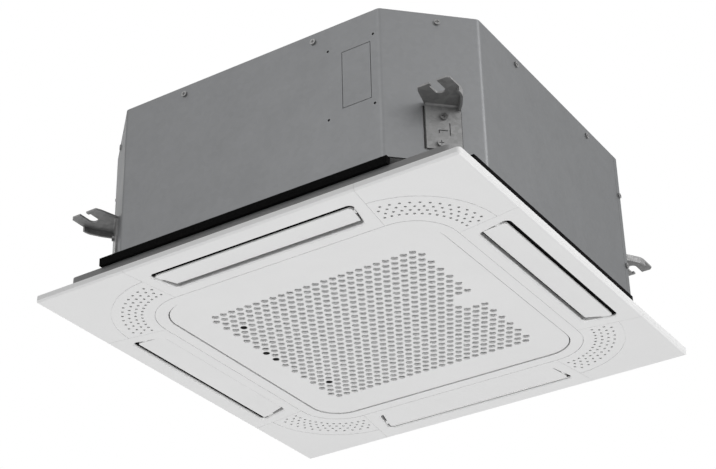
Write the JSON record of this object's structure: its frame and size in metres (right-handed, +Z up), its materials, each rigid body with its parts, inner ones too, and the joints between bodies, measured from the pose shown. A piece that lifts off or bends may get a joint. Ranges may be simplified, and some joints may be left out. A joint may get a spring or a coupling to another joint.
{
  "type": "ceiling cassette air conditioner",
  "caption": "Square ceiling cassette air conditioner with a white face panel, perforated hinged intake grille, swinging louvres around it and an octagonal sheet steel casing on hanger brackets",
  "frame": {"origin": "on the unit's vertical axis, at the lowest level of the face panel", "axes": "+X to the right and -Y to the front of the unit, seen standing below it and facing the side with the knock-out, +Z up towards the ceiling"},
  "size_m": [0.62, 0.62, 0.264],
  "materials": {
    "face_white": "fine satin grain",
    "grey_plastic": "satin moulded",
    "black_plastic": "satin moulded",
    "foam": "open matte foam",
    "mesh": "fine woven filter",
    "galvanised": "zinc coated sheet",
    "hanger_steel": "mottled zinc coating",
    "bright_steel": "plated",
    "polystyrene": "expanded beads",
    "coil_fins": "thin pressed fins",
    "copper": "drawn tube",
    "motor_paint": "satin paint",
    "fan_plastic": "moulded",
    "board_green": "coated",
    "terminal_white": "moulded",
    "brass": "machined"
  },
  "bodies": {
    "unit": {"panel_frame": "face_white", "corner_cover_front_left": "face_white", "corner_cover_front_right": "face_white", "corner_cover_back_right": "face_white", "corner_cover_back_left": "face_white", "louvre_motors": "grey_plastic", "panel_back_frame": "grey_plastic", "panel_seal": "foam", "intake_seal": "foam", "outlet_seals": "foam", "casing_front_right": "galvanised", "casing_back_left": "galvanised", "top_cover": "galvanised", "knockout_cover": "galvanised", "casing_screws": "bright_steel", "hanger_front_left": "hanger_steel", "hanger_front_right": "hanger_steel", "hanger_back_right": "hanger_steel", "hanger_back_left": "hanger_steel", "hanger_screws": "bright_steel", "casing_liner": "polystyrene", "drain_pan": "polystyrene", "bell_mouth": "black_plastic", "heat_exchanger": "coil_fins", "coil_tubes": "copper", "fan_motor": "motor_paint", "motor_mounts": "black_plastic", "drain_pump": "fan_plastic", "float_stem": "fan_plastic", "electrical_box": "galvanised", "electrical_box_cover": "galvanised", "control_board": "board_green", "terminal_block": "terminal_white", "room_sensor": "black_plastic", "gas_pipe": "copper", "liquid_pipe": "copper", "pipe_unions": "brass", "drain_socket": "fan_plastic", "pipe_plate": "galvanised"},
    "louvre_front": {"louvre_front": "face_white"},
    "louvre_right": {"louvre_right": "face_white"},
    "louvre_back": {"louvre_back": "face_white"},
    "louvre_left": {"louvre_left": "face_white"},
    "fan": {"turbo_fan": "fan_plastic", "fan_nut": "bright_steel", "motor_shaft": "bright_steel"},
    "grille": {"intake_grille": "face_white", "grille_hinge_pins": "bright_steel", "grille_lock_screws": "black_plastic", "filter_frame": "face_white", "filter_mesh": "mesh", "filter_clips": "black_plastic"},
    "pump_rotor": {"pump_impeller": "grey_plastic"},
    "water_float": {"float_ring": "fan_plastic"}
  },
  "joints": [
    {"name": "louvre_front_hinge", "type": "hinge", "parent": "unit", "child": "louvre_front", "pos_m": [0, -0.2658, 0.0056], "axis": [1, 0, 0], "range_deg": [-6, 64]},
    {"name": "louvre_right_hinge", "type": "hinge", "parent": "unit", "child": "louvre_right", "pos_m": [0.2658, 0, 0.0056], "axis": [0, 1, 0], "range_deg": [-6, 64]},
    {"name": "louvre_back_hinge", "type": "hinge", "parent": "unit", "child": "louvre_back", "pos_m": [0, 0.2658, 0.0056], "axis": [-1, 0, 0], "range_deg": [-6, 64]},
    {"name": "louvre_left_hinge", "type": "hinge", "parent": "unit", "child": "louvre_left", "pos_m": [-0.2658, 0, 0.0056], "axis": [0, -1, 0], "range_deg": [-6, 64]},
    {"name": "fan_spin", "type": "hinge", "parent": "unit", "child": "fan", "pos_m": [0, 0, 0.19], "axis": [0, 0, 1], "continuous": true},
    {"name": "grille_hinge", "type": "hinge", "parent": "unit", "child": "grille", "pos_m": [0.17, 0, 0.0026], "axis": [0, -1, 0], "range_deg": [0, 88]},
    {"name": "pump_spin", "type": "hinge", "parent": "unit", "child": "pump_rotor", "pos_m": [-0.206, 0.206, 0.075], "axis": [0, 0, 1], "continuous": true},
    {"name": "float_slide", "type": "slide", "parent": "unit", "child": "water_float", "axis": [0, 0, 1], "range_m": [0, 0.012]}
  ]
}
